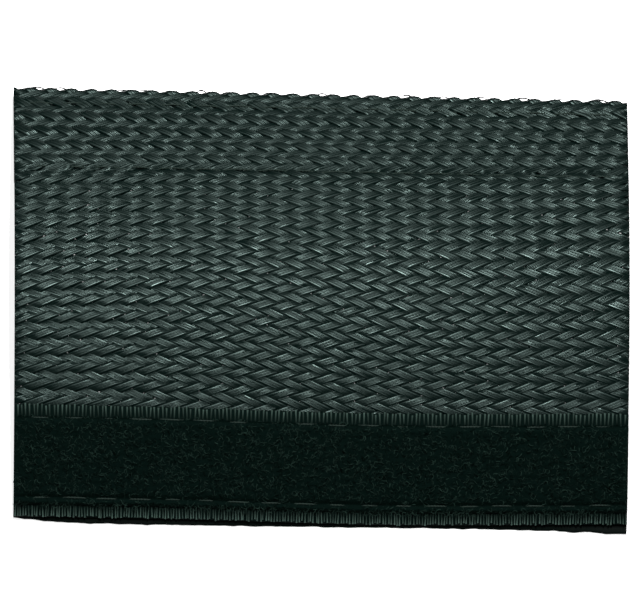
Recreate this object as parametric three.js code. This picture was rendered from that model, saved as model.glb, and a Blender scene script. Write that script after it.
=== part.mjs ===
// Braided cable sleeve with a hook-and-loop closure, open and lying on a level surface.
// Millimetres. X runs along the sleeve, +Y from the loop tape's edge to the folded edge, +Z is up.
// The part's origin is the middle of its footprint, at the height that it rests on.
//
// A cross-section is drawn in two sleeve coordinates: s is the distance round the braid from
// its front edge, and h is the height above the middle of the braid's thickness.
import * as THREE from 'three';

const DEGREE = Math.PI / 180;

// The whole sleeve
const LENGTH = 110;
const SLEEVE_WIDTH = 86; // round the braid, from the front edge to the fold
const CURL = 32 * DEGREE; // how far the braid still turns between its two tapes
const SEWN_GAP = 0.1; // between layers that the seams hold together

// Braid, and the hem that is folded under along its back edge
const BRAID_THICKNESS = 0.8;
const HEM_WIDTH = 18.7;
const HEM_GAP = 0.2; // between the braid and its hem
const FURROW_DEPTH = 0.4; // where a seam pulls the braid down
const FURROW_WIDTH = 1.6;

// Loop tape, sewn on top of the braid along the front edge
const LOOP_TAPE_WIDTH = 20;
const LOOP_TAPE_MARGIN = 0.5; // braid that shows in front of the tape
const LOOP_GROUND = 0.6;
const LOOP_PILE = 1.2;
const LOOP_SELVEDGE = 2.1;
const LOOP_SEAM_INNER = 2.4; // seam's distance from the tape's inner edge
const LOOP_SEAM_OUTER = 3.3; // seam's distance from the tape's outer edge

// Hook tape, sewn under the hem along the back edge
const HOOK_TAPE_WIDTH = 20;
const HOOK_TAPE_MARGIN = 0.3; // hem that shows behind the tape
const HOOK_GROUND = 0.5;
const HOOK_HEIGHT = 1.3;
const HOOK_SELVEDGE = 1.9;
const HOOK_SEAM_EDGE = 2.5; // both seams' distance from the tape's edges

// Sewing thread
const THREAD_WIDTH = 0.35;
const THREAD_HEIGHT = 0.25;
const SEAM_CHANNEL = 0.8; // width of the channel that a seam presses into a tape's face

// Drawing of the curved stretches
const CURL_STEPS = 20;
const EDGE_STEPS = 8;

const COLOURS = {
  braid: new THREE.MeshStandardMaterial({ color: 0x2a302e, roughness: 0.45, metalness: 0 }),
  loop: new THREE.MeshStandardMaterial({ color: 0x0b0e0d, roughness: 0.95, metalness: 0 }),
  hook: new THREE.MeshStandardMaterial({ color: 0x121514, roughness: 0.6, metalness: 0 }),
  thread: new THREE.MeshStandardMaterial({ color: 0x1b201f, roughness: 0.6, metalness: 0 }),
};

// Heights of the layers
const BRAID_TOP = BRAID_THICKNESS / 2;
const BRAID_UNDER = -BRAID_THICKNESS / 2;
const HEM_TOP = BRAID_UNDER - HEM_GAP;
const HEM_UNDER = HEM_TOP - BRAID_THICKNESS;
const LOOP_UNDER = BRAID_TOP + SEWN_GAP;
const LOOP_FACE = LOOP_UNDER + LOOP_GROUND;
const LOOP_TOP = LOOP_FACE + LOOP_PILE;
const HOOK_TOP = HEM_UNDER - SEWN_GAP;
const HOOK_FACE = HOOK_TOP - HOOK_GROUND;
const HOOK_TIPS = HOOK_FACE - HOOK_HEIGHT;

// Places round the sleeve
const LOOP_OUTER = LOOP_TAPE_MARGIN;
const LOOP_INNER = LOOP_OUTER + LOOP_TAPE_WIDTH;
const FOLD = SLEEVE_WIDTH;
const HOOK_OUTER = FOLD - HOOK_TAPE_MARGIN;
const HOOK_INNER = HOOK_OUTER - HOOK_TAPE_WIDTH;
const SEAMS = {
  loopOuter: LOOP_OUTER + LOOP_SEAM_OUTER,
  loopInner: LOOP_INNER - LOOP_SEAM_INNER,
  hookInner: HOOK_INNER + HOOK_SEAM_EDGE,
  hookOuter: HOOK_OUTER - HOOK_SEAM_EDGE,
};

// The braid lies flat where a tape stiffens it, and curls between the two tapes.
const CURL_START = LOOP_INNER;
const CURL_END = HOOK_INNER;
const CURL_RADIUS = (CURL_END - CURL_START) / CURL;

// A point of the cross-section with the curl level, before the sleeve is set down.
function curledPoint(s, h) {
  const turned = THREE.MathUtils.clamp((s - CURL_START) / CURL_RADIUS, 0, CURL);
  const front = Math.min(s, CURL_START);
  const back = Math.max(s - CURL_END, 0);
  const slope = CURL / 2 - turned;
  const along = (front + back) * Math.cos(CURL / 2);
  const rise = (front - back) * Math.sin(CURL / 2);
  return new THREE.Vector2(
    along + CURL_RADIUS * (Math.sin(CURL / 2) - Math.sin(slope)) - h * Math.sin(slope),
    rise + CURL_RADIUS * (Math.cos(slope) - Math.cos(CURL / 2)) + h * Math.cos(slope),
  );
}

// The sleeve rests on its rounded front edge and on the hook tape's outer corner.
function restingLean() {
  const corner = curledPoint(HOOK_OUTER - HOOK_SELVEDGE, HOOK_TIPS);
  return corner.angle() + Math.asin(BRAID_THICKNESS / 2 / corner.length());
}

const ORIGIN = new THREE.Vector2(0, 0);
const LEAN = restingLean();

function sleevePoint(s, h) {
  return curledPoint(s, h).rotateAround(ORIGIN, -LEAN);
}

// Places from one s to another, with the steps of the curl that lie between them.
function places(from, to) {
  const [low, high] = [Math.min(from, to), Math.max(from, to)];
  const steps = [];
  for (let i = 0; i <= CURL_STEPS; i += 1) {
    steps.push(CURL_START + ((CURL_END - CURL_START) * i) / CURL_STEPS);
  }
  const inside = steps.filter((s) => s > low && s < high);
  const rising = [low, ...inside, high];
  return from < to ? rising : rising.reverse();
}

// A stretch of outline at one height.
function run(from, to, h) {
  return places(from, to).map((s) => sleevePoint(s, h));
}

// A half turn of outline about a middle point, from one angle to another.
function halfTurn(s, h, radius, fromAngle, toAngle) {
  const points = [];
  for (let i = 1; i < EDGE_STEPS; i += 1) {
    const angle = fromAngle + ((toAngle - fromAngle) * i) / EDGE_STEPS;
    points.push(sleevePoint(s + radius * Math.cos(angle), h + radius * Math.sin(angle)));
  }
  return points;
}

// The dip that a seam pulls into the top of the braid.
function furrow(seam) {
  const shoulder = FURROW_WIDTH / 2;
  const floor = (THREAD_WIDTH / 2) + SEWN_GAP;
  return [
    sleevePoint(seam - shoulder, BRAID_TOP),
    sleevePoint(seam - floor, BRAID_TOP - FURROW_DEPTH),
    sleevePoint(seam + floor, BRAID_TOP - FURROW_DEPTH),
    sleevePoint(seam + shoulder, BRAID_TOP),
  ];
}

// A piece of constant section, along the whole length of the sleeve.
function lengthOf(outline, name, material) {
  const geometry = new THREE.ExtrudeGeometry(new THREE.Shape(outline), {
    depth: LENGTH,
    bevelEnabled: false,
  });
  geometry.translate(0, 0, -LENGTH / 2);
  const sectionAcross = new THREE.Matrix4().makeBasis(
    new THREE.Vector3(0, 1, 0),
    new THREE.Vector3(0, 0, 1),
    new THREE.Vector3(1, 0, 0),
  );
  geometry.applyMatrix4(sectionAcross);
  const mesh = new THREE.Mesh(geometry, material);
  mesh.name = name;
  return mesh;
}

// One slit braided tube: a fused front edge, the open width, the fold and the hem under it.
function braidSleeve() {
  const foldMiddle = BRAID_UNDER - HEM_GAP / 2;
  const hemEdge = FOLD - HEM_WIDTH;
  const outline = [
    ...run(0, SEAMS.hookInner - FURROW_WIDTH, BRAID_TOP),
    ...furrow(SEAMS.hookInner),
    ...furrow(SEAMS.hookOuter),
    sleevePoint(FOLD, BRAID_TOP),
    ...halfTurn(FOLD, foldMiddle, BRAID_THICKNESS + HEM_GAP / 2, Math.PI / 2, -Math.PI / 2),
    ...run(FOLD, hemEdge, HEM_UNDER),
    ...run(hemEdge, FOLD, HEM_TOP),
    ...halfTurn(FOLD, foldMiddle, HEM_GAP / 2, -Math.PI / 2, Math.PI / 2),
    ...run(FOLD, 0, BRAID_UNDER),
    ...halfTurn(0, 0, BRAID_THICKNESS / 2, -Math.PI / 2, -1.5 * Math.PI),
  ];
  return lengthOf(outline, 'braid_sleeve', COLOURS.braid);
}

// Woven ground with plain selvedges, and the pile between them with a channel for each seam.
function loopTape() {
  const channel = SEAM_CHANNEL / 2;
  const outline = [
    ...run(LOOP_OUTER, LOOP_INNER, LOOP_UNDER),
    sleevePoint(LOOP_INNER, LOOP_FACE),
    sleevePoint(SEAMS.loopInner - channel, LOOP_FACE),
    sleevePoint(SEAMS.loopInner - channel, LOOP_TOP),
    sleevePoint(SEAMS.loopOuter + channel, LOOP_TOP),
    sleevePoint(SEAMS.loopOuter + channel, LOOP_FACE),
    sleevePoint(SEAMS.loopOuter - channel, LOOP_FACE),
    sleevePoint(SEAMS.loopOuter - channel, LOOP_TOP),
    sleevePoint(LOOP_OUTER + LOOP_SELVEDGE, LOOP_TOP),
    sleevePoint(LOOP_OUTER + LOOP_SELVEDGE, LOOP_FACE),
    sleevePoint(LOOP_OUTER, LOOP_FACE),
  ];
  return lengthOf(outline, 'loop_tape', COLOURS.loop);
}

// Woven ground with plain selvedges, and the field of hooks between them, facing down.
function hookTape() {
  const channel = SEAM_CHANNEL / 2;
  const outline = [
    sleevePoint(HOOK_INNER, HOOK_TOP),
    sleevePoint(HOOK_OUTER, HOOK_TOP),
    sleevePoint(HOOK_OUTER, HOOK_FACE),
    sleevePoint(HOOK_OUTER - HOOK_SELVEDGE, HOOK_FACE),
    sleevePoint(HOOK_OUTER - HOOK_SELVEDGE, HOOK_TIPS),
    sleevePoint(SEAMS.hookOuter + channel, HOOK_TIPS),
    sleevePoint(SEAMS.hookOuter + channel, HOOK_FACE),
    sleevePoint(SEAMS.hookOuter - channel, HOOK_FACE),
    sleevePoint(SEAMS.hookOuter - channel, HOOK_TIPS),
    sleevePoint(SEAMS.hookInner + channel, HOOK_TIPS),
    sleevePoint(SEAMS.hookInner + channel, HOOK_FACE),
    sleevePoint(HOOK_INNER, HOOK_FACE),
  ];
  return lengthOf(outline, 'hook_tape', COLOURS.hook);
}

// One line of thread, on the side of a surface that its direction gives: 1 above, -1 below.
function seamThread(name, seam, surface, direction) {
  const near = surface + direction * SEWN_GAP;
  const far = near + direction * THREAD_HEIGHT;
  const half = THREAD_WIDTH / 2;
  const outline = [
    sleevePoint(seam - half, near),
    sleevePoint(seam + half, near),
    sleevePoint(seam + half, far),
    sleevePoint(seam - half, far),
  ];
  return lengthOf(outline, name, COLOURS.thread);
}

const sleeve = new THREE.Group();
sleeve.add(
  braidSleeve(),
  loopTape(),
  hookTape(),
  seamThread('loop_seam_outer_needle_thread', SEAMS.loopOuter, LOOP_FACE, 1),
  seamThread('loop_seam_outer_bobbin_thread', SEAMS.loopOuter, BRAID_UNDER, -1),
  seamThread('loop_seam_inner_needle_thread', SEAMS.loopInner, LOOP_FACE, 1),
  seamThread('loop_seam_inner_bobbin_thread', SEAMS.loopInner, BRAID_UNDER, -1),
  seamThread('hook_seam_inner_needle_thread', SEAMS.hookInner, HOOK_FACE, -1),
  seamThread('hook_seam_inner_bobbin_thread', SEAMS.hookInner, BRAID_TOP - FURROW_DEPTH, 1),
  seamThread('hook_seam_outer_needle_thread', SEAMS.hookOuter, HOOK_FACE, -1),
  seamThread('hook_seam_outer_bobbin_thread', SEAMS.hookOuter, BRAID_TOP - FURROW_DEPTH, 1),
);

// Moves the origin to the middle of the footprint, on the surface that the sleeve rests on.
const bounds = new THREE.Box3().setFromObject(sleeve, true);
sleeve.position.y = -(bounds.min.y + bounds.max.y) / 2;
sleeve.position.z = -bounds.min.z;

export default sleeve;
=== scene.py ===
"""A braided cable sleeve with a hook-and-loop closure, lying open on a pale floor.

Every layer of the sleeve is drawn flat, in millimetres: X along the sleeve, Y round the braid from
its front edge, and Z the height above the middle of the braid. It is then laid on the line that the
braid's middle follows over the arch, round the fold and along the hem.
"""
import math

import bmesh
import bpy
import numpy as np
from mathutils import Matrix, Vector


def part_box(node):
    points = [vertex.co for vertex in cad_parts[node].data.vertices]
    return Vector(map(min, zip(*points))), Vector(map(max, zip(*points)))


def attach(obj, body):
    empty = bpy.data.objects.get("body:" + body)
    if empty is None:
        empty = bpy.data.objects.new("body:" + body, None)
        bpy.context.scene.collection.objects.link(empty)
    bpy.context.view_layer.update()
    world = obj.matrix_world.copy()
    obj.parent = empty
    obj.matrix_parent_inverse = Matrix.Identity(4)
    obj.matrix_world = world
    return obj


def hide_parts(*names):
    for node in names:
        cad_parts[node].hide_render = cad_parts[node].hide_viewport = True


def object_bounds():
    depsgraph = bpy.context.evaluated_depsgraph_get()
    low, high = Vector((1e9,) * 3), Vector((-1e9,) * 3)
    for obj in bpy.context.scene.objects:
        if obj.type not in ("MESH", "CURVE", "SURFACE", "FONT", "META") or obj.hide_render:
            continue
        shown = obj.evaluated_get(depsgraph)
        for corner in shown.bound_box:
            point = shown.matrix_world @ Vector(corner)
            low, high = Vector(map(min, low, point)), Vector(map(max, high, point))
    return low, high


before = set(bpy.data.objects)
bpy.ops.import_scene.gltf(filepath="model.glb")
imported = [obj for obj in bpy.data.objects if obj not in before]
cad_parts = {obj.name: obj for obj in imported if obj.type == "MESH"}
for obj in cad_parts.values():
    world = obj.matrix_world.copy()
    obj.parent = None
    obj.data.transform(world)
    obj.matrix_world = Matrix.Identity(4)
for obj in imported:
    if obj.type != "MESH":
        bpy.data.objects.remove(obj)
cad_low, cad_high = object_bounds()

# The line of the braid
# The sleeve is a slit braided tube. It lies flat where a tape stiffens it and curls between its two
# tapes. Its back edge is folded under, and the hem goes back beneath it.
MM = 0.001
LENGTH = (cad_high.x - cad_low.x) / MM
SLEEVE_WIDTH = 86.0
LOOP_EDGES = (0.5, 20.5)
HOOK_TAPE_WIDTH = 20.0
HOOK_MARGIN = 0.3
CURL = math.radians(32)
FOLD_RADIUS = 0.5
HEM_WIDTH = 18.7
BRAID_TOP = 0.4
SEWN_GAP = 0.1
LOOP_UNDER = BRAID_TOP + SEWN_GAP
LOOP_FACE = LOOP_UNDER + 0.6
LOOP_SEAMS = (3.8, 18.1)
THREAD_LIFT = SEWN_GAP + 0.125
LEAD = 5.0


def under(place):
    """Where a place of the braid is met again on the hem beneath it, measured along the line."""
    return 2 * SLEEVE_WIDTH + math.pi * FOLD_RADIUS - place


HEM_END = under(SLEEVE_WIDTH - HEM_WIDTH)


def middle(name):
    """The middle of a CAD node's box across the sleeve, in millimetres."""
    low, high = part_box(name)
    return np.array([low.y + high.y, low.z + high.z]) / 2 / MM


def braid_line():
    """Points down the middle of the braid, from in front of its edge to past the end of its hem."""
    start, end = LOOP_EDGES[1], SLEEVE_WIDTH - HOOK_MARGIN - HOOK_TAPE_WIDTH
    radius = (end - start) / CURL
    place = np.concatenate([[-LEAD], np.linspace(start, end, 61), [SLEEVE_WIDTH]])
    slope = CURL / 2 - np.clip((place - start) / radius, 0, CURL)
    front, back = np.minimum(place, start), np.maximum(place - end, 0)
    along = (front + back) * math.cos(CURL / 2) + radius * (math.sin(CURL / 2) - np.sin(slope))
    rise = (front - back) * math.sin(CURL / 2) + radius * (np.cos(slope) - math.cos(CURL / 2))
    onward = np.array([math.cos(CURL / 2), -math.sin(CURL / 2)])
    outward = np.array([math.sin(CURL / 2), math.cos(CURL / 2)])
    centre = np.array([along[-1], rise[-1]]) - FOLD_RADIUS * outward
    turn = np.linspace(math.pi / 2, -math.pi / 2, 17)[1:, None]
    fold = centre + FOLD_RADIUS * (np.cos(turn) * onward + np.sin(turn) * outward)
    tail = fold[-1:] - (HEM_WIDTH + LEAD) * onward
    drawn = np.concatenate([np.c_[along, rise], fold, tail])

    # The two rows of thread on the loop tape show how the braid leans and where it lies.
    outer = middle("loop_seam_outer_needle_thread")
    inner = middle("loop_seam_inner_needle_thread")
    lean = math.atan2(*(inner - outer)[::-1]) - CURL / 2
    turned = drawn @ np.array([[math.cos(lean), math.sin(lean)], [-math.sin(lean), math.cos(lean)]])
    tape_way = (inner - outer) / np.linalg.norm(inner - outer)
    tape_up = np.array([-tape_way[1], tape_way[0]])
    laid = LOOP_SEAMS[0] * tape_way + (LOOP_FACE + THREAD_LIFT) * tape_up
    return turned + outer - laid


patterns = []


def pattern_line(name, points, closed=False):
    """A curve of straight steps that the node trees read. It is removed at the end."""
    curve = bpy.data.curves.new(name, "CURVE")
    curve.dimensions = "3D"
    spline = curve.splines.new("POLY")
    spline.points.add(len(points) - 1)
    spline.points.foreach_set("co", np.c_[points, np.ones(len(points))].ravel())
    spline.use_cyclic_u = closed
    made = bpy.data.objects.new(name, curve)
    bpy.context.scene.collection.objects.link(made)
    patterns.append(made)
    return made


section_line = braid_line()
braid_guide = pattern_line("braid_guide", np.c_[np.zeros(len(section_line)), section_line])


class Wire:
    """A value in a node tree. Arithmetic on it adds Math nodes to the tree."""

    def __init__(self, tree, socket):
        self.tree = tree
        self.socket = socket

    def math(self, operation, *others):
        made = self.tree.nodes.new("ShaderNodeMath")
        made.operation = operation
        for slot, value in zip(made.inputs, (self, *others)):
            plug(self.tree, value, slot)
        return Wire(self.tree, made.outputs[0])

    def __add__(self, other):
        return self.math("ADD", other)

    def __sub__(self, other):
        return self.math("SUBTRACT", other)

    def __mul__(self, other):
        return self.math("MULTIPLY", other)

    def __truediv__(self, other):
        return self.math("DIVIDE", other)

    __radd__ = __add__

    def __rsub__(self, other):
        return self * -1.0 + other

    def clamped(self, low, high):
        """Held between two values."""
        return self.math("MAXIMUM", low).math("MINIMUM", high)

    def bell(self):
        """1 where this is 0, falling away smoothly on both sides."""
        return (self * self * -1.0).math("EXPONENT")

    def swing(self, start, length):
        """A sine of this, which is 0 at its start and comes round again after a length."""
        return ((self - start) * (2 * math.pi / length)).math("SINE")


def plug(tree, value, slot):
    """Joins a wire to a slot, or sets the slot to a plain value."""
    if isinstance(value, Wire):
        tree.links.new(value.socket, slot)
    else:
        slot.default_value = value


def add_node(tree, kind, plugs=None, **settings):
    """Adds a node and returns its output as a wire, or its outputs by name where it has several."""
    made = tree.nodes.new(kind)
    for key, value in settings.items():
        setattr(made, key, value)
    for key, value in (plugs or {}).items():
        plug(tree, value, made.inputs[key])
    outputs = {socket.name: Wire(tree, socket) for socket in made.outputs if socket.enabled}
    return outputs if len(outputs) > 1 else next(iter(outputs.values()))


def new_tree(name, sizes):
    """A geometry node tree with named inputs, and those inputs as wires."""
    kinds = {float: "NodeSocketFloat", int: "NodeSocketInt"}
    tree = bpy.data.node_groups.new(name, "GeometryNodeTree")
    tree.interface.new_socket("Geometry", in_out="OUTPUT", socket_type="NodeSocketGeometry")
    for label, value in sizes.items():
        kind = kinds.get(type(value), "NodeSocketGeometry")
        socket = tree.interface.new_socket(label, in_out="INPUT", socket_type=kind)
        if value is not None:
            socket.default_value = value
    entry = tree.nodes.new("NodeGroupInput")
    return tree, {label: Wire(tree, entry.outputs[label]) for label in sizes}


def end_tree(tree, geometry):
    """Makes a wire of geometry the tree's result."""
    leave = tree.nodes.new("NodeGroupOutput")
    plug(tree, geometry, leave.inputs[0])
    return tree


def vector(tree, *parts):
    """Three wires or numbers as one vector."""
    return add_node(tree, "ShaderNodeCombineXYZ", dict(enumerate(parts)))


def split(tree, whole):
    """The three wires of a vector."""
    parts = add_node(tree, "ShaderNodeSeparateXYZ", {0: whole})
    return parts["X"], parts["Y"], parts["Z"]


def position_of(tree):
    """The three wires of each point's place."""
    return split(tree, add_node(tree, "GeometryNodeInputPosition"))


def move_to(tree, geometry, *place):
    """Sets each point of a wire of geometry to a new place."""
    plugs = {"Geometry": geometry, "Position": vector(tree, *place)}
    return add_node(tree, "GeometryNodeSetPosition", plugs)


def shape_of(tree, pattern):
    """The geometry of a pattern object."""
    return add_node(tree, "GeometryNodeObjectInfo", {"Object": pattern})["Geometry"]


BOW = 0.72
BOW_MIDDLE = 14.0
BOW_REACH = 34.0


def bow_at(x):
    """How far the loop tape bows forward at a place along it, as a share of the most."""
    return ((x - BOW_MIDDLE) / BOW_REACH).bell()


def lay_on_braid_tree():
    """Lays flat geometry on the line of the braid, and turns its millimetres into metres."""
    tree, given = new_tree("lay_on_the_braid", {
        "Flat geometry": None, "Lead": LEAD, "Unit": MM, "Taper": 0.0068 / 55, "Flare": 0.006 / 42.5,
        "Bow": BOW, "Bow fade": 8.0})
    x, place, height = position_of(tree)

    # The loop tape bows forward a little, right of the middle, and takes the braid by it along.
    behind = (place - LOOP_EDGES[1]).math("MAXIMUM", 0.0)
    taken_along = (behind / given["Bow fade"] * -1.0).math("EXPONENT")
    place = place - bow_at(x) * taken_along * given["Bow"]
    plugs = {"Curves": shape_of(tree, braid_guide), "Length": place + given["Lead"]}
    found = add_node(tree, "GeometryNodeSampleCurve", plugs, mode="LENGTH")
    line_y, line_z = split(tree, found["Position"])[1:]
    way_y, way_z = split(tree, found["Tangent"])[1:]
    laid_y = line_y - height * way_z
    laid_z = line_z + height * way_y

    # The braid is soft, and lies a little out of square.
    unit = given["Unit"]
    square_x = x * (laid_y * given["Flare"] + 1.0)
    square_y = laid_y * (1.0 - x * given["Taper"])
    laid = move_to(tree, given["Flat geometry"], square_x * unit, square_y * unit, laid_z * unit)
    return end_tree(tree, laid)


LAY_ON_BRAID = lay_on_braid_tree()


# The braid
# A tube of black polyester monofilament, five filaments side by side in a strand, braided two over
# and two under. A hot knife has slit it open, and it is cut off square at both ends.
ROW_SPACING = 1.63
COLUMN_PITCH = 3.86
FILAMENTS = 5
HOOK_SEAMS = (68.2, 83.2)
CUT_SLANT = 0.00776

# Half a strand's foot, its covered width and the top of its creases, where the next strand is 1
# away. The foot ends just short of the next one's, so that the floor doesn't show between the two.
STRAND_FOOT = 0.495
STRAND_COVER = 0.74
CREASE_TOP = 0.1

# Round the braid from its front edge: the middle of the sway and how far it reaches, and where the
# lean and the crowding start and over what length they come and go.
SWAY_PLACE = (43.0, 19.0)
LEAN_PLACE = (42.0, 80.0)
CROWD_PLACE = (50.0, 52.0)
AWAY_FROM_FOLD = 12.0


def finish_tree(tree, flat_geometry):
    """Makes flat geometry one mesh, lays it on the braid and gives it the material."""
    laid = tree.nodes.new("GeometryNodeGroup")
    laid.node_tree = LAY_ON_BRAID
    whole = add_node(tree, "GeometryNodeRealizeInstances", {"Geometry": flat_geometry})
    plug(tree, whole, laid.inputs["Flat geometry"])
    tree.interface.new_socket("Material", in_out="INPUT", socket_type="NodeSocketMaterial")
    chosen = Wire(tree, tree.nodes.new("NodeGroupInput").outputs["Material"])
    plugs = {"Geometry": Wire(tree, laid.outputs[0]), "Material": chosen}
    return end_tree(tree, add_node(tree, "GeometryNodeSetMaterial", plugs))


def made_by(tree, name, material, **sizes):
    """The plain mesh object that a tree makes with these sizes."""
    piece = bpy.data.objects.new(name, bpy.data.meshes.new(name))
    bpy.context.scene.collection.objects.link(piece)
    modifier = piece.modifiers.new(tree.name, "NODES")
    modifier.node_group = tree
    chosen = {label.replace("_", " "): value for label, value in sizes.items()} | {"material": material}
    for socket in tree.interface.items_tree:
        if socket.in_out == "INPUT" and socket.name.lower() in chosen:
            modifier[socket.identifier] = chosen[socket.name.lower()]
    evaluated = piece.evaluated_get(bpy.context.evaluated_depsgraph_get())
    mesh = bpy.data.meshes.new_from_object(evaluated)
    piece.modifiers.remove(modifier)
    empty, piece.data = piece.data, mesh
    bpy.data.meshes.remove(empty)
    mesh.name = name
    return piece


def tube(tree, line, profile, scale=1.0):
    """A profile swept along lines that lie level, its first axis across them and its second up."""
    line = add_node(tree, "GeometryNodeSetCurveNormal", {"Curve": line}, mode="Z_UP")
    line = add_node(tree, "GeometryNodeSetCurveTilt", {"Curve": line, "Tilt": math.pi})
    plugs = {"Curve": line, "Profile Curve": shape_of(tree, profile), "Fill Caps": True, "Scale": scale}
    return add_node(tree, "GeometryNodeCurveToMesh", plugs)


def store(tree, geometry, name, value, domain="POINT"):
    """Keeps a number on each point, or on each instance, for the material to read."""
    plugs = {"Geometry": geometry, "Name": name, "Value": value}
    return add_node(tree, "GeometryNodeStoreNamedAttribute", plugs, domain=domain)


def noise_at(tree, cell, scale=1.0, detail=1.0):
    """Smooth noise between 0 and 1."""
    plugs = {"Vector": cell, "Scale": scale, "Detail": detail}
    return add_node(tree, "ShaderNodeTexNoise", plugs)["Fac"]


def strand_profile():
    """A strand's section: filaments side by side on top, and a flat foot that meets the next strand."""
    half = STRAND_COVER / 2
    across = np.linspace(-half, half, 2 * FILAMENTS + 1)[1:-1]
    height = np.zeros(2 * FILAMENTS - 1)
    height[0::2] = (0.14, 0.19, 0.15, 0.185, 0.14)
    height[1::2] = (0.05, 0.06, 0.05, 0.06)
    top = np.c_[across, height, np.zeros(len(across))]
    bottom = [[STRAND_FOOT, -0.14, 0], [-STRAND_FOOT, -0.14, 0]]
    return np.concatenate([top, bottom])


def braid_tree():
    """One of the two sets of strands, first as straight ribbons in the braid's own lattice.

    In the lattice a strand is 1 from the next one, and crosses one of the other set at each 1 along.
    """
    profile = pattern_line("strand_profile", strand_profile(), closed=True)
    tree, given = new_tree("braid_strands", {
        "Hand": 1.0, "Strands": 105, "First strand": -18.0, "Reach": 36.0, "Phase": 0.75,
        "Step": 0.5, "First row": 0.75, "Last row": 130.25, "Row spacing": ROW_SPACING,
        "Column pitch": COLUMN_PITCH, "Weave height": 0.2, "Flat top": 2.8, "Crowding": 0.8,
        "Convergence": 0.13, "Skew": 0.31, "Sway": -1.2, "Lean": 2.0 / LENGTH, "Crowd": 0.45,
        "Furrow depth": 0.3, "Furrow reach": 0.75, "Flattening": 0.4, "Stray": 0.4,
        "Stray at seam": 1.8, "Stray lift": 0.12, "Ride": 0.11, "Ride at end": 1.2,
        "Ride from": -18.0, "Ride over": -20.0, "Sleeve width": SLEEVE_WIDTH,
        "Inner seam": HOOK_SEAMS[0], "Outer seam": HOOK_SEAMS[1]})

    # Each runs aslant from the front edge to the hem's edge, unless it passes an end of the sleeve.
    # All are laid long, and cut to the sleeve's length afterwards.
    strand = add_node(tree, "GeometryNodeInputIndex") + given["First strand"]
    start = (strand - given["Reach"] + given["Phase"]).math("MAXIMUM", given["First row"] - strand)
    end = (strand + given["Reach"] + given["Phase"]).math("MINIMUM", given["Last row"] - strand)
    plugs = {"Count": given["Strands"], "Position": vector(tree, start, strand, 0.0)}
    starts = add_node(tree, "GeometryNodePoints", plugs)
    line = add_node(tree, "GeometryNodeCurvePrimitiveLine", {"End": (1.0, 0.0, 0.0)})
    plugs = {"Points": starts, "Instance": line, "Scale": vector(tree, end - start, 1.0, 1.0)}
    lines = add_node(tree, "GeometryNodeInstanceOnPoints", plugs)
    lines = add_node(tree, "GeometryNodeRealizeInstances", {"Geometry": lines})
    plugs = {"Curve": lines, "Length": given["Step"]}
    lines = add_node(tree, "GeometryNodeResampleCurve", plugs, mode="LENGTH")
    ribbons = tube(tree, lines, profile)

    # The line between two filaments is a crease.
    ends = add_node(tree, "GeometryNodeInputMeshEdgeVertices")
    one, other = split(tree, ends["Position 1"]), split(tree, ends["Position 2"])
    lengthwise = (one[1] - other[1]).math("ABSOLUTE").math("LESS_THAN", 0.001)
    low = one[2].math("LESS_THAN", CREASE_TOP)
    plugs = {"Geometry": ribbons, "Selection": lengthwise * low, "Shade Smooth": False}
    ribbons = add_node(tree, "GeometryNodeSetShadeSmooth", plugs, domain="EDGE")

    # A strand's points crowd together where it goes under, so that it is flat where it lies on top.
    along, across, height = position_of(tree)
    strand = across.math("ROUND")
    crossing = (strand + along - 0.5) / 2.0
    crossing = crossing - crossing.math("FLOOR")
    along = along + (0.5 - crossing) * given["Crowding"]
    ribbons = store(tree, ribbons, "across", (across - strand) * (FILAMENTS / STRAND_COVER))
    ribbons = store(tree, ribbons, "along", along)
    ribbons = store(tree, ribbons, "strand", strand)

    # Over two strands of the other set, then under two.
    wave = ((strand + along - 0.5) * (math.pi / 2)).math("COSINE")
    wave = (wave * given["Flat top"]).math("TANH")
    place = (across + along) * given["Row spacing"] * 0.5
    x = (along - across) * given["Column pitch"] * 0.5 * given["Hand"]

    # On the face the rows sway once from end to end, lean, and stand closer in one place than another.
    on_face = place.math("MINIMUM", given["Sleeve width"])
    middle_of_sway, reach = SWAY_PLACE
    sway = x.swing(0.0, LENGTH) * ((on_face - middle_of_sway) / reach).bell() * given["Sway"]
    lean = on_face.swing(*LEAN_PLACE) * x * given["Lean"]
    crowd = on_face.swing(*CROWD_PLACE) * given["Crowd"]

    # A seam pulls the braid down into a furrow and its strands about. The inner one also opens the
    # weave, once in each column.
    dip = 0.0
    for seam, hole in (("Inner seam", 0.75), ("Outer seam", 0.0)):
        open_weave = x.swing(0.0, COLUMN_PITCH) * hole + 1.0
        dip = ((place - given[seam]) / given["Furrow reach"]).bell() * open_weave + dip
    cell = vector(tree, strand * 3.7 + given["Hand"] * 40.0, along * 0.22, 0.0)
    stray = (noise_at(tree, cell) - 0.5) * (dip * given["Stray at seam"] + given["Stray"])
    x = x * (1.0 - (on_face / given["Sleeve width"] - 0.5) * given["Convergence"])
    x = x + (on_face - given["Inner seam"]).math("MAXIMUM", 0.0) * given["Skew"]
    weave = wave * given["Hand"] * given["Weave height"] * (1.0 - dip * given["Flattening"])
    height = height + weave - dip * given["Furrow depth"] + stray * given["Stray lift"]

    # The left hand strands ride higher round the fold, and the right hand ones at one end.
    past_seam = ((on_face - given["Inner seam"]) / 3.0).clamped(0.0, 1.0)
    near_end = ((x - given["Ride from"]) / given["Ride over"]).clamped(0.0, 1.0)
    ride = near_end * (1.0 - past_seam) * given["Ride at end"] - past_seam
    height = height + ride * given["Hand"] * given["Ride"]

    # The rows are drawn aside on the face alone, and less and less towards the fold.
    drawn = on_face.math("LESS_THAN", SLEEVE_WIDTH - 0.01)
    free = ((SLEEVE_WIDTH - on_face) / AWAY_FROM_FOLD).math("MINIMUM", 1.0)
    place = place + (sway + lean + crowd) * drawn * free
    return finish_tree(tree, move_to(tree, ribbons, x, place + stray, height))


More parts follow.
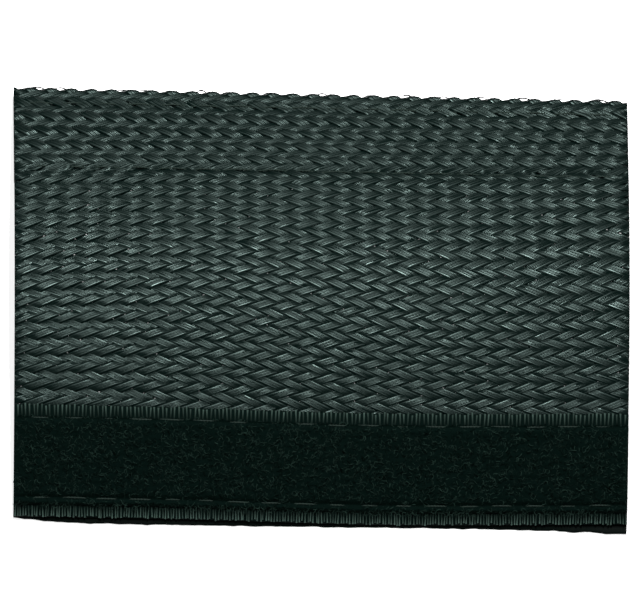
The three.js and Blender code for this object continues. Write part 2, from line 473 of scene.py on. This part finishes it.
def mixed(tree, factor, low, high):
    """A colour between two."""
    mix = tree.nodes.new("ShaderNodeMix")
    mix.data_type = "RGBA"
    plug(tree, factor, mix.inputs[0])
    mix.inputs[6].default_value = (*low, 1)
    mix.inputs[7].default_value = (*high, 1)
    return Wire(tree, mix.outputs[2])


def new_material(name, **finish):
    """A material with a Principled shader, whose plain settings are given by socket name."""
    material = bpy.data.materials.new(name)
    material.use_nodes = True
    tree = material.node_tree
    shader = tree.nodes["Principled BSDF"]
    for label, value in finish.items():
        shader.inputs[label.replace("_", " ")].default_value = value
    return material, tree, shader


def attribute(tree, name):
    """A number stored on the mesh, as a wire."""
    made = tree.nodes.new("ShaderNodeAttribute")
    made.attribute_name = name
    return Wire(tree, made.outputs["Fac"])


def monofilament():
    """Black polyester monofilament: smooth, half glossy, a little uneven from one to the next."""
    material, tree, shader = new_material(
        "black_monofilament", Specular_IOR_Level=0.155, Specular_Tint=(0.73, 1.0, 0.93, 1.0))
    strand, along, across = (attribute(tree, name) for name in ("strand", "along", "across"))
    filament = (across + FILAMENTS / 2).math("FLOOR")
    off_middle = across + (FILAMENTS - 1) / 2 - filament
    crease = (off_middle * 2.0).math("ABSOLUTE").math("POWER", 3.0)
    cell = vector(tree, strand * 7.3 + filament * 1.9, along * 0.3, 0.0)
    noise = noise_at(tree, cell, detail=2.0)
    black = mixed(tree, noise, (0.00005, 0.0010, 0.0008), (0.0003, 0.0030, 0.0024))
    plug(tree, black, shader.inputs["Base Color"])
    rough = (0.76 - noise * 0.9).math("MAXIMUM", 0.12) + crease * 0.35
    plug(tree, rough, shader.inputs["Roughness"])
    return material


BRAID = monofilament()
strands = braid_tree()


def cut_square(piece):
    """Cuts a piece off at both ends of the sleeve, all but square, and closes the cut strands."""
    mesh = bmesh.new()
    mesh.from_mesh(piece.data)
    for side in (-1, 1):
        cut = bmesh.ops.bisect_plane(
            mesh, geom=mesh.verts[:] + mesh.edges[:] + mesh.faces[:], dist=1e-7,
            plane_co=(side * LENGTH / 2 * MM, 0, 0), plane_no=(side, -CUT_SLANT, 0),
            clear_outer=True)
        rim = [part for part in cut["geom_cut"] if isinstance(part, bmesh.types.BMEdge)]
        bmesh.ops.holes_fill(mesh, edges=rim)
    mesh.to_mesh(piece.data)
    mesh.free()
    return piece


right_strands = cut_square(made_by(strands, "braid_right_hand_strands", BRAID, hand=1.0))
left_strands = made_by(strands, "braid_left_hand_strands", BRAID, hand=-1.0)
left_strands.data.flip_normals()
cut_square(left_strands)

# The fused edges
# The hot knife melts the ends of the braid together into a narrow smooth lip along the front edge,
# and into another along the edge of the hem.


def ring(count):
    """Points round a circle of radius 1, in its own plane."""
    turn = np.linspace(0, 2 * math.pi, count, endpoint=False)
    return np.c_[np.cos(turn), np.sin(turn), np.zeros(count)]


def object_place(tree):
    """The place of a point on the object, in a material."""
    return add_node(tree, "ShaderNodeTexCoord")["Object"]


def add_bump(tree, shader, height, depth):
    """Fine relief of this depth in metres."""
    plugs = {"Height": height, "Strength": 0.6, "Distance": depth}
    plug(tree, add_node(tree, "ShaderNodeBump", plugs), shader.inputs["Normal"])


def straight_line(tree, length, step):
    """A line along X, about the middle of the sleeve, in short steps."""
    half = length * 0.5
    plugs = {"Start": vector(tree, half * -1.0, 0.0, 0.0), "End": vector(tree, half, 0.0, 0.0)}
    line = add_node(tree, "GeometryNodeCurvePrimitiveLine", plugs)
    plugs = {"Curve": line, "Length": step}
    return add_node(tree, "GeometryNodeResampleCurve", plugs, mode="LENGTH")


def lip_tree():
    """A lip along X that the knife has left wider in some places than in others."""
    profile = pattern_line("lip_profile", ring(16), closed=True)
    tree, given = new_tree("fused_lip", {
        "Length": LENGTH, "Step": 0.5, "Inner edge": 1.4, "Width": 2.1, "Thickness": 0.72,
        "Uneven": 1.0, "Narrowing": 1.05, "Narrow over": 7.0, "Widening": 0.7, "Wide from": 22.0,
        "Wide over": 33.0, "Waver": 0.5, "Lift in front": -0.3, "Way": -1.0})
    lip = tube(tree, straight_line(tree, given["Length"], given["Step"]), profile)
    x, across, height = position_of(tree)
    near = ((x + given["Length"] * 0.5) / given["Narrow over"] * -1.0).math("EXPONENT")
    far = ((x - given["Wide from"]) / given["Wide over"]).math("MAXIMUM", 0.0)
    noise = add_node(tree, "ShaderNodeTexNoise", {"W": x, "Scale": 0.3}, noise_dimensions="1D")["Fac"]
    wider = far * far * given["Widening"] - near * given["Narrowing"]
    wider = (wider + (noise - 0.5) * given["Waver"] - bow_at(x) * BOW) * given["Uneven"]
    place = given["Inner edge"] + given["Way"] * (0.5 - across * 0.5) * (given["Width"] + wider)

    # In front of the braid's edge the line runs down into the floor, and the lip stays above it.
    level = (place * given["Lift in front"]).math("MAXIMUM", 0.0)
    return finish_tree(tree, move_to(tree, lip, x, place, height * given["Thickness"] * 0.5 + level))


def melted_braid():
    """Polyester that has melted and set again: smooth, with fine lines drawn out along it."""
    material, tree, shader = new_material(
        "melted_monofilament", Roughness=0.6, Specular_IOR_Level=0.02,
        Base_Color=(0.0003, 0.0014, 0.001, 1))
    x, y, z = split(tree, object_place(tree))
    cell = vector(tree, x * 60.0, y * 7000.0, z * 7000.0)
    add_bump(tree, shader, noise_at(tree, cell), depth=0.00005)
    return material


MELTED = melted_braid()
lips = lip_tree()
front_lip = made_by(lips, "braid_front_lip", MELTED)
hem_lip = made_by(lips, "braid_hem_lip", MELTED, inner_edge=HEM_END - 1.1, width=1.4,
                  uneven=0.2, way=1.0)
for piece in (right_strands, left_strands, front_lip, hem_lip):
    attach(piece, "root")
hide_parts("braid_sleeve")

# The filaments that stand off the fold
# Here and there along the fold a monofilament has slipped out of its strand and stands off in a low
# arc. Its two ends are still braided in.
STRAY_RADIUS = 0.065


def random_number(tree, low, high, seed):
    """A number between two for each point, from a fixed seed."""
    plugs = {2: low, 3: high, "Seed": seed}
    return add_node(tree, "FunctionNodeRandomValue", plugs, data_type="FLOAT")


def stray_tree():
    """Thin arcs at uneven distances along the fold."""
    profile = pattern_line("filament_profile", ring(6) * STRAY_RADIUS, closed=True)
    tree, given = new_tree("stray_filaments", {
        "Count": 15, "Pitch": 7.4, "Arc length": 2.6, "Rise": 0.7, "Place": SLEEVE_WIDTH + 0.85,
        "Height": 0.3, "Seed": 4})
    line = straight_line(tree, given["Arc length"], 0.26)
    arc = tube(tree, line, profile)
    x, across, height = position_of(tree)
    bent = x / given["Arc length"] * 2.0
    arc = move_to(tree, arc, x, across, height + (1.0 - bent * bent) * given["Rise"])
    index = add_node(tree, "GeometryNodeInputIndex")
    jitter = random_number(tree, -2.4, 2.4, given["Seed"])
    x = (index - (given["Count"] - 1.0) * 0.5) * given["Pitch"] + jitter
    spot = vector(tree, x, given["Place"], given["Height"])
    points = add_node(tree, "GeometryNodePoints", {"Count": given["Count"], "Position": spot})
    turn = vector(tree, 0.0, 0.0, random_number(tree, -0.12, 0.12, given["Seed"] + 1.0))
    size = vector(tree, random_number(tree, 0.7, 1.5, given["Seed"] + 2.0), 1.0,
                  random_number(tree, 0.5, 1.1, given["Seed"] + 3.0))
    plugs = {"Points": points, "Instance": arc, "Rotation": turn, "Scale": size}
    return finish_tree(tree, add_node(tree, "GeometryNodeInstanceOnPoints", plugs))


strays = made_by(stray_tree(), "braid_stray_filaments", MELTED)
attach(strays, "root")

# The loop tape
# A narrow woven tape of black yarn, with its pile of loops between two ribbed selvedges. It is sewn
# on the face of the braid along the front edge.
RIB_PITCH = 0.72
RIB_INSET = 1.1
FRONT_SELVEDGE = 2.0
BACK_SELVEDGE = 2.1
PILE_RISE = 0.7
PILE_CHANNEL = 0.35


def slab_profile():
    """A strip's section, with round edges: 1 is where its flat face ends and its edge begins."""
    turn = np.radians([-90, -45, 0, 45, 90])
    edge = np.c_[1 + np.cos(turn), np.sin(turn)]
    face = np.c_[np.linspace(0.9, -0.9, 9), np.ones(9)]
    half = np.concatenate([edge, face])
    return np.c_[np.concatenate([half, -half]), np.zeros(2 * len(half))]


def slab_tree():
    """A flat strip along X, of the thickness and between the edges given."""
    profile = pattern_line("slab_profile", slab_profile(), closed=True)
    tree, given = new_tree("woven_ground", {
        "Length": LENGTH, "Step": 1.0, "Front edge": 0.0, "Back edge": 20.0,
        "Under": LOOP_UNDER, "Face": LOOP_FACE})
    strip = tube(tree, straight_line(tree, given["Length"], given["Step"]), profile)
    x, across, height = position_of(tree)
    edge = (given["Face"] - given["Under"]) * 0.5
    flat = across.clamped(-1.0, 1.0)
    half = (given["Back edge"] - given["Front edge"]) * 0.5 - edge
    place = (given["Front edge"] + given["Back edge"]) * 0.5 + flat * half + (across - flat) * edge
    height = (given["Under"] + given["Face"]) * 0.5 + height * edge
    # The strip stores no shade, so its yarn takes the near-black colour: painted shade in the gaps between
    # the ribs.
    return finish_tree(tree, move_to(tree, strip, x, place, height))


def rib_tree():
    """The selvedge's ribs, each the turn of a weft yarn, side by side along X."""
    profile = pattern_line("rib_profile", ring(6) * 0.5, closed=True)
    tree, given = new_tree("selvedge_ribs", {
        "Length": LENGTH, "Pitch": RIB_PITCH, "Place": 19.4, "Rib length": 2.1, "Rib width": 0.4,
        "Rib height": 0.3, "Face": LOOP_FACE, "Shade": 0.85, "Pile side": 1.0, "Seed": 7})
    line = straight_line(tree, 1.0, 0.2)
    x, across, height = position_of(tree)
    swell = (x * 2.0).math("ABSOLUTE").math("POWER", 3.0)
    yarn = tube(tree, line, profile, scale=0.8 + swell * 0.3)
    # Each rib is painted darker towards the pile: a painted shadow of the pile on the rib.
    yarn = store(tree, yarn, "shadow", (x * given["Pile side"] + 0.5) * 0.95)
    yarn = move_to(tree, yarn, x * given["Rib length"], across * given["Rib width"],
                   height * given["Rib height"] + 0.1 - x * x * 0.6)
    count = (given["Length"] / given["Pitch"]).math("FLOOR")
    index = add_node(tree, "GeometryNodeInputIndex")
    jitter = random_number(tree, -0.1, 0.1, given["Seed"])
    spot_x = (index + 0.5 - count * 0.5) * given["Pitch"] + jitter
    spot_y = given["Place"] + random_number(tree, -0.12, 0.12, given["Seed"] + 1.0)
    spot_z = given["Face"] + random_number(tree, -0.06, 0.06, given["Seed"] + 2.0)
    plugs = {"Count": count, "Position": vector(tree, spot_x, spot_y, spot_z)}
    points = add_node(tree, "GeometryNodePoints", plugs)
    turn = vector(tree, 0.0, 0.0, random_number(tree, -0.07, 0.07, given["Seed"] + 3.0) + math.pi / 2)
    size = vector(tree, random_number(tree, 0.82, 1.12, given["Seed"] + 4.0), 1.0, 1.0)
    plugs = {"Points": points, "Instance": yarn, "Rotation": turn, "Scale": size}
    ribs = add_node(tree, "GeometryNodeInstanceOnPoints", plugs)
    shade = random_number(tree, 0.45, 1.0, given["Seed"] + 5.0) * given["Shade"]
    return finish_tree(tree, store(tree, ribs, "shade", shade, domain="INSTANCE"))


def yarn_material(name, dark, light):
    """Dull black textured yarn, with its fine filaments as bump."""
    material, tree, shader = new_material(
        name, Roughness=0.7, Specular_IOR_Level=0.03, Specular_Tint=(0.4, 1.0, 0.85, 1.0))
    # A piece that stores no shade takes the dark colour, so the woven grounds and the pile's foot are
    # painted shade, between the ribs and under the loops. A rib's stored shadow is a painted shadow of the
    # pile.
    shade = attribute(tree, "shade") * (1.0 - attribute(tree, "shadow"))
    plug(tree, mixed(tree, shade, dark, light), shader.inputs["Base Color"])
    fine = noise_at(tree, object_place(tree), scale=9000.0, detail=2.0)
    add_bump(tree, shader, fine, depth=0.00006)
    return material


def pile_profile():
    """The section of the dense foot of the pile, with a channel where each row of thread runs."""
    start, end = LOOP_EDGES[0] + FRONT_SELVEDGE, LOOP_EDGES[1] - BACK_SELVEDGE
    place = np.linspace(start, end, 64)
    shoulder = np.minimum(1, np.minimum(place - start, end - place) / 0.5)
    rise = PILE_RISE * np.sqrt(1 - (1 - shoulder) ** 2)
    for seam in LOOP_SEAMS:
        rise = rise * (1 - PILE_CHANNEL * np.exp(-((place - seam) / 0.42) ** 2))
    top = np.c_[place, LOOP_FACE + rise + 0.02]
    bottom = [[end, LOOP_FACE - 0.2], [start, LOOP_FACE - 0.2]]
    drawn = np.concatenate([top[::-1], bottom[::-1]])
    return np.c_[drawn, np.zeros(len(drawn))]


def pile_foot_tree():
    """The dense foot of the pile, lumpy on top."""
    profile = pattern_line("pile_profile", pile_profile(), closed=True)
    tree, given = new_tree("pile_foot", {
        "Length": LENGTH, "Step": 0.6, "Lumps": 0.5, "Face": LOOP_FACE})
    foot = tube(tree, straight_line(tree, given["Length"], given["Step"]), profile)
    x, place, height = position_of(tree)
    noise = noise_at(tree, vector(tree, x, place, 0.0), scale=0.9, detail=2.0)
    above = (height - given["Face"]).math("MAXIMUM", 0.0)
    height = height + above * (noise - 0.5) * given["Lumps"]
    # The foot stores no shade, so it takes the near-black colour of the pile yarn: painted shade under the
    # loops.
    return finish_tree(tree, move_to(tree, foot, x, place, height))


def pile_tree():
    """The loops of the pile: short thin arcs that lean every way."""
    profile = pattern_line("loop_profile", ring(3), closed=True)
    tree, given = new_tree("loop_pile", {
        "Loops": 9700, "Length": LENGTH, "Front edge": LOOP_EDGES[0] + FRONT_SELVEDGE - 0.5,
        "Back edge": LOOP_EDGES[1] - BACK_SELVEDGE, "Foot": LOOP_FACE + 0.6, "Sunk at seam": 0.6,
        "Loop size": 0.36, "Yarn radius": 0.04, "Seed": 11})
    plugs = {"Resolution": 4, "Radius": 1.0, "Sweep Angle": math.radians(200)}
    arc = add_node(tree, "GeometryNodeCurveArc", plugs)
    plugs = {"Curve": arc, "Profile Curve": shape_of(tree, profile), "Fill Caps": True,
             "Scale": given["Yarn radius"] / given["Loop size"]}
    loop = add_node(tree, "GeometryNodeCurveToMesh", plugs)
    half = given["Length"] * 0.5 - 0.2
    x = random_number(tree, -1.0, 1.0, given["Seed"]) * half
    across = random_number(tree, 0.0, 1.0, given["Seed"] + 1.0)
    place = given["Front edge"] + across * (given["Back edge"] - given["Front edge"])
    sunk = 0.0
    for seam in LOOP_SEAMS:
        sunk = ((place - seam) / 0.45).bell() + sunk
    foot = given["Foot"] + random_number(tree, -0.15, 0.25, given["Seed"] + 2.0)
    foot = foot - sunk * given["Sunk at seam"]
    plugs = {"Count": given["Loops"], "Position": vector(tree, x, place, foot)}
    points = add_node(tree, "GeometryNodePoints", plugs)
    turn = vector(tree, random_number(tree, 0.5, 2.6, given["Seed"] + 3.0), 0.0,
                  random_number(tree, 0.0, 6.283, given["Seed"] + 4.0))
    size = given["Loop size"] * random_number(tree, 0.7, 1.3, given["Seed"] + 5.0)
    plugs = {"Points": points, "Instance": loop, "Rotation": turn, "Scale": vector(tree, size, size, size)}
    loops = add_node(tree, "GeometryNodeInstanceOnPoints", plugs)
    shade = random_number(tree, 0.0, 1.0, given["Seed"] + 6.0).math("POWER", 2.0)
    return finish_tree(tree, store(tree, loops, "shade", shade, domain="INSTANCE"))


TAPE_YARN = yarn_material("tape_yarn", (0.0002, 0.001, 0.0008), (0.031, 0.050, 0.042))
PILE_YARN = yarn_material("pile_yarn", (0.00003, 0.0006, 0.0004), (0.012, 0.024, 0.019))
slabs, ribs = slab_tree(), rib_tree()
loop_ground = made_by(slabs, "loop_tape_ground", TAPE_YARN, front_edge=LOOP_EDGES[0],
                      back_edge=LOOP_EDGES[1], under=LOOP_UNDER, face=LOOP_FACE)
loop_back_ribs = made_by(ribs, "loop_tape_back_ribs", TAPE_YARN, place=LOOP_EDGES[1] - RIB_INSET,
                         rib_length=2.2, pile_side=-1.0, seed=7)
loop_front_ribs = made_by(ribs, "loop_tape_front_ribs", TAPE_YARN, place=LOOP_EDGES[0] + RIB_INSET,
                          rib_length=2.1, pitch=0.5, rib_width=0.3, shade=1.0, seed=21)
pile_foot = made_by(pile_foot_tree(), "loop_pile_foot", PILE_YARN)
pile = made_by(pile_tree(), "loop_pile", PILE_YARN)
for piece in (loop_ground, loop_back_ribs, loop_front_ribs, pile_foot, pile):
    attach(piece, "root")
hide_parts("loop_tape")

# The hook tape
# A woven tape of the same width under the hem, with rows of stiff monofilament hooks between its
# selvedges. It is sewn through the hem and the braid.
HOOK_UNDER = BRAID_TOP + SEWN_GAP
HOOK_FACE = HOOK_UNDER + 0.5
HOOK_EDGES = (under(SLEEVE_WIDTH - HOOK_MARGIN), under(SLEEVE_WIDTH - HOOK_MARGIN - HOOK_TAPE_WIDTH))
HOOK_RIB_INSET = 0.95
HOOK_RADIUS = 0.09
STALK = 0.92
BEND_RADIUS = 0.28
BEND_RISE = 0.3


def hook_tree():
    """Rows of hooks, each a stalk whose top turns over."""
    turn = np.radians([45, 90, 135, 180, 215])
    bend = np.c_[BEND_RADIUS - BEND_RADIUS * np.cos(turn), 0 * turn, STALK + BEND_RISE * np.sin(turn)]
    stalk = [(0, 0, 0), (0, 0, 0.45), (0, 0, 0.9)]
    drawn = pattern_line("hook_line", np.concatenate([stalk, bend]))
    profile = pattern_line("hook_profile", ring(5) * HOOK_RADIUS, closed=True)
    tree, given = new_tree("hooks", {
        "Length": LENGTH, "Pitch": 1.5, "Rows": 12, "Row spacing": 1.17,
        "First row": HOOK_EDGES[0] + 3.5, "Face": HOOK_FACE - 0.05, "Seed": 31})
    plugs = {"Curve": shape_of(tree, drawn), "Profile Curve": shape_of(tree, profile), "Fill Caps": True}
    hook = add_node(tree, "GeometryNodeCurveToMesh", plugs)
    in_row = (given["Length"] / given["Pitch"] - 1.0).math("FLOOR")
    index = add_node(tree, "GeometryNodeInputIndex")
    row = (index / in_row).math("FLOOR")
    column = index - row * in_row
    odd = row.math("MODULO", 2.0)
    jitter = random_number(tree, -0.12, 0.12, given["Seed"])
    x = (column + 0.25 + odd * 0.5 - in_row * 0.5) * given["Pitch"] + jitter
    place = given["First row"] + row * given["Row spacing"]
    spot = vector(tree, x, place, given["Face"])
    points = add_node(tree, "GeometryNodePoints", {"Count": in_row * given["Rows"], "Position": spot})
    turn = vector(tree, random_number(tree, -0.1, 0.1, given["Seed"] + 1.0), 0.0,
                  random_number(tree, -0.3, 0.3, given["Seed"] + 2.0) + odd * math.pi + math.pi / 2)
    plugs = {"Points": points, "Instance": hook, "Rotation": turn}
    return finish_tree(tree, add_node(tree, "GeometryNodeInstanceOnPoints", plugs))


def hook_material():
    """Stiff black nylon monofilament, a little shiny."""
    material, tree, shader = new_material("hook_monofilament", Roughness=0.4)
    noise = noise_at(tree, object_place(tree), scale=700.0)
    black = mixed(tree, noise, (0.006, 0.008, 0.008), (0.014, 0.018, 0.017))
    plug(tree, black, shader.inputs["Base Color"])
    return material


hook_ground = made_by(slabs, "hook_tape_ground", TAPE_YARN, front_edge=HOOK_EDGES[0],
                      back_edge=HOOK_EDGES[1], under=HOOK_UNDER, face=HOOK_FACE)
hook_back_ribs = made_by(ribs, "hook_tape_back_ribs", TAPE_YARN, place=HOOK_EDGES[0] + HOOK_RIB_INSET,
                         rib_length=1.7, face=HOOK_FACE, seed=41)
hook_front_ribs = made_by(ribs, "hook_tape_front_ribs", TAPE_YARN, place=HOOK_EDGES[1] - HOOK_RIB_INSET,
                          rib_length=1.7, face=HOOK_FACE, seed=51)
hooks = made_by(hook_tree(), "hook_tape_hooks", hook_material())
for piece in (hook_ground, hook_back_ribs, hook_front_ribs, hooks):
    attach(piece, "root")
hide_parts("hook_tape")

# The seams
# Four rows of lockstitch in twisted black polyester thread hold the tapes on. Each stitch dips into
# the layers at both ends, and the bobbin thread does the same on the other side.
STITCH_STEPS = 18
STITCH_DIP = 0.45
PLY_RADIUS = 0.105
PLY_SWING = 0.075
PLY_LIFT = 0.06


def stitch_tree():
    """One side of a row of lockstitch: two-ply stitches end to end."""
    profile = pattern_line("ply_profile", ring(6) * PLY_RADIUS, closed=True)
    tree, given = new_tree("lockstitch", {
        "Length": LENGTH, "Pitch": 5.9, "Stitch": 5.6, "Place": 3.8, "Height": 1.3,
        "Dip": STITCH_DIP, "Twist": 5.0, "Seed": 61})
    line = straight_line(tree, 1.0, 1 / STITCH_STEPS)
    plies = []
    for side in (1.0, -1.0):
        ply = tube(tree, line, profile)
        x, across, height = position_of(tree)
        turn = x * given["Twist"] * (2 * math.pi)
        end = (x * 2.0).math("ABSOLUTE").math("POWER", 2.0)
        plies.append(move_to(
            tree, ply, x * given["Stitch"], across + turn.math("SINE") * (PLY_SWING * side),
            height + turn.math("COSINE") * (PLY_LIFT * side) - end * given["Dip"]))
    both = tree.nodes.new("GeometryNodeJoinGeometry")
    for ply in plies:
        tree.links.new(ply.socket, both.inputs[0])
    index = add_node(tree, "GeometryNodeInputIndex")
    count = (given["Length"] / given["Pitch"]).math("FLOOR")
    jitter = random_number(tree, -0.15, 0.15, given["Seed"])
    x = (index + 0.5 - count * 0.5) * given["Pitch"] + jitter
    place = given["Place"] + random_number(tree, -0.08, 0.08, given["Seed"] + 1.0)
    height = given["Height"] + random_number(tree, -0.14, 0.03, given["Seed"] + 2.0)
    plugs = {"Count": count, "Position": vector(tree, x, place, height)}
    points = add_node(tree, "GeometryNodePoints", plugs)
    turn = vector(tree, 0.0, 0.0, random_number(tree, -0.02, 0.02, given["Seed"] + 3.0))
    plugs = {"Points": points, "Instance": Wire(tree, both.outputs[0]), "Rotation": turn}
    return finish_tree(tree, add_node(tree, "GeometryNodeInstanceOnPoints", plugs))


def thread_material():
    """Black polyester sewing thread, with a little sheen."""
    material, tree, shader = new_material("sewing_thread", Roughness=0.6, Specular_IOR_Level=0.08)
    noise = noise_at(tree, object_place(tree), scale=6000.0, detail=2.0)
    black = mixed(tree, noise, (0.002, 0.005, 0.004), (0.010, 0.019, 0.015))
    plug(tree, black, shader.inputs["Base Color"])
    return material


THREAD = thread_material()
stitches = stitch_tree()
UNDERSIDE = -BRAID_TOP - THREAD_LIFT

# The pile holds the needle threads of the loop tape up, the outer one more.
OUTER_LIFT = 0.35
INNER_LIFT = 0.24
threads = {
    "loop_seam_outer_needle_thread": (LOOP_SEAMS[0], LOOP_FACE + THREAD_LIFT + OUTER_LIFT, 1),
    "loop_seam_outer_bobbin_thread": (LOOP_SEAMS[0], UNDERSIDE, -1),
    "loop_seam_inner_needle_thread": (LOOP_SEAMS[1], LOOP_FACE + THREAD_LIFT + INNER_LIFT, 1),
    "loop_seam_inner_bobbin_thread": (LOOP_SEAMS[1], UNDERSIDE, -1),
    "hook_seam_inner_needle_thread": (under(HOOK_SEAMS[0]), HOOK_FACE + THREAD_LIFT, 1),
    "hook_seam_inner_bobbin_thread": (HOOK_SEAMS[0], THREAD_LIFT, 1),
    "hook_seam_outer_needle_thread": (under(HOOK_SEAMS[1]), HOOK_FACE + THREAD_LIFT, 1),
    "hook_seam_outer_bobbin_thread": (HOOK_SEAMS[1], THREAD_LIFT, 1),
}
for number, (name, (place, height, side)) in enumerate(threads.items()):
    row = made_by(stitches, name + "_stitches", THREAD, place=place, height=height,
                  dip=STITCH_DIP * side, seed=61 + 10 * number)
    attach(row, "root")
    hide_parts(name)

# The floor, the light and the camera
# A pale table that is lit a little from within, one strip light not far above the sleeve, and a long
# lens that looks down on the arch.
FLOOR_REACH = 2.0
corners = [(x * FLOOR_REACH, y * FLOOR_REACH, 0) for x, y in ((-1, -1), (1, -1), (1, 1), (-1, 1))]
floor_mesh = bpy.data.meshes.new("floor")
floor_mesh.from_pydata(corners, [], [(0, 1, 2, 3)])
floor = bpy.data.objects.new("floor", floor_mesh)
bpy.context.scene.collection.objects.link(floor)
pale_table = new_material(
    "pale_floor", Roughness=0.9, Base_Color=(0.9, 0.9, 0.9, 1),
    Emission_Color=(1, 1, 1, 1), Emission_Strength=0.8)[0]
floor_mesh.materials.append(pale_table)


def soft_light(name, place, aim, size, power):
    """A soft light of this width and depth at a place, turned to what it lights."""
    lamp = bpy.data.lights.new(name, "AREA")
    lamp.shape = "RECTANGLE"
    lamp.size, lamp.size_y = size
    lamp.energy = power
    made = bpy.data.objects.new(name, lamp)
    made.location = place
    made.rotation_euler = (Vector(aim) - Vector(place)).to_track_quat("-Z", "Y").to_euler()
    made.visible_camera = False
    bpy.context.scene.collection.objects.link(made)


soft_light("key_light", (0.008, 0.10, 0.46), (0.004, 0.0, 0.0), (0.06, 0.25), 6.1)
world = bpy.data.worlds.new("studio")
world.use_nodes = True
studio = world.node_tree.nodes["Background"]
studio.inputs["Color"].default_value = (1, 1, 1, 1)
studio.inputs["Strength"].default_value = 0.22
bpy.context.scene.world = world
bpy.context.scene.view_settings.view_transform = "Standard"

# The lens is so far off, in metres, that its picture is all but parallel.
ELEVATION = math.radians(64.07)
TIP = math.radians(2.32)
FAR_BACK = 3.186
RAISED = 0.00086
right = Vector((math.cos(TIP), 0, math.sin(TIP)))
upward = Vector((-math.sin(TIP) * math.cos(ELEVATION), math.sin(ELEVATION),
                 math.cos(TIP) * math.cos(ELEVATION)))
toward = right.cross(upward)
lens = bpy.data.cameras.new("long_lens")
lens.lens = 1000
lens.clip_end = 20
camera = bpy.data.objects.new("camera", lens)
turned = Matrix((right, upward, toward)).transposed().to_4x4()
camera.matrix_world = Matrix.Translation(upward * RAISED + toward * FAR_BACK) @ turned
bpy.context.scene.collection.objects.link(camera)
bpy.context.scene.camera = camera

for pattern in patterns:
    bpy.data.objects.remove(pattern)
